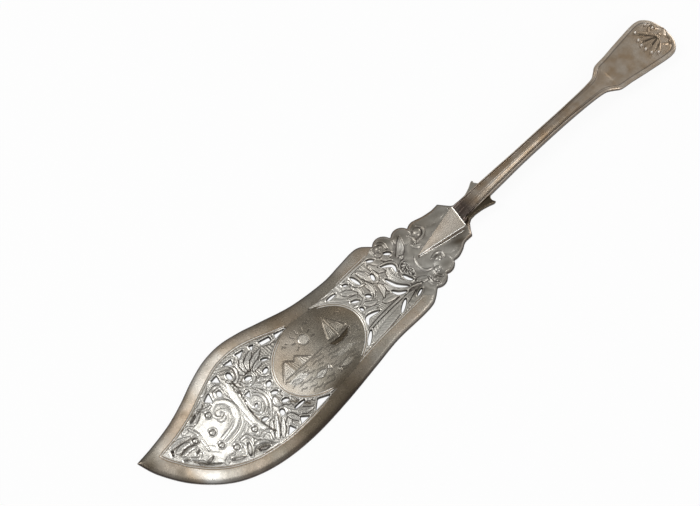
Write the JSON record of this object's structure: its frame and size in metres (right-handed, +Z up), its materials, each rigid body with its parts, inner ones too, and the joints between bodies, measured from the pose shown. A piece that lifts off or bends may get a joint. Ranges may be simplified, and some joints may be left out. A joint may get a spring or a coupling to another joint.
{
  "type": "fish server",
  "caption": "Pierced, engraved fish slice in one piece: a scimitar-shaped serving blade with a scalloped heel and an arched fiddle, thread and shell handle.",
  "frame": {"origin": "under the neck, where the blade's heel meets the handle, level with the blade's flat underside", "axes": "+X along the handle towards its end, +Y towards the hollow crest edge of the blade, +Z up from the blade's underside to its ornamented face"},
  "size_m": [0.3161, 0.0582, 0.0091],
  "materials": {
    "tarnished_silver_plate": "worn, tarnished silver plate"
  },
  "bodies": {
    "root": {"fish_server": "tarnished_silver_plate"}
  },
  "joints": []
}
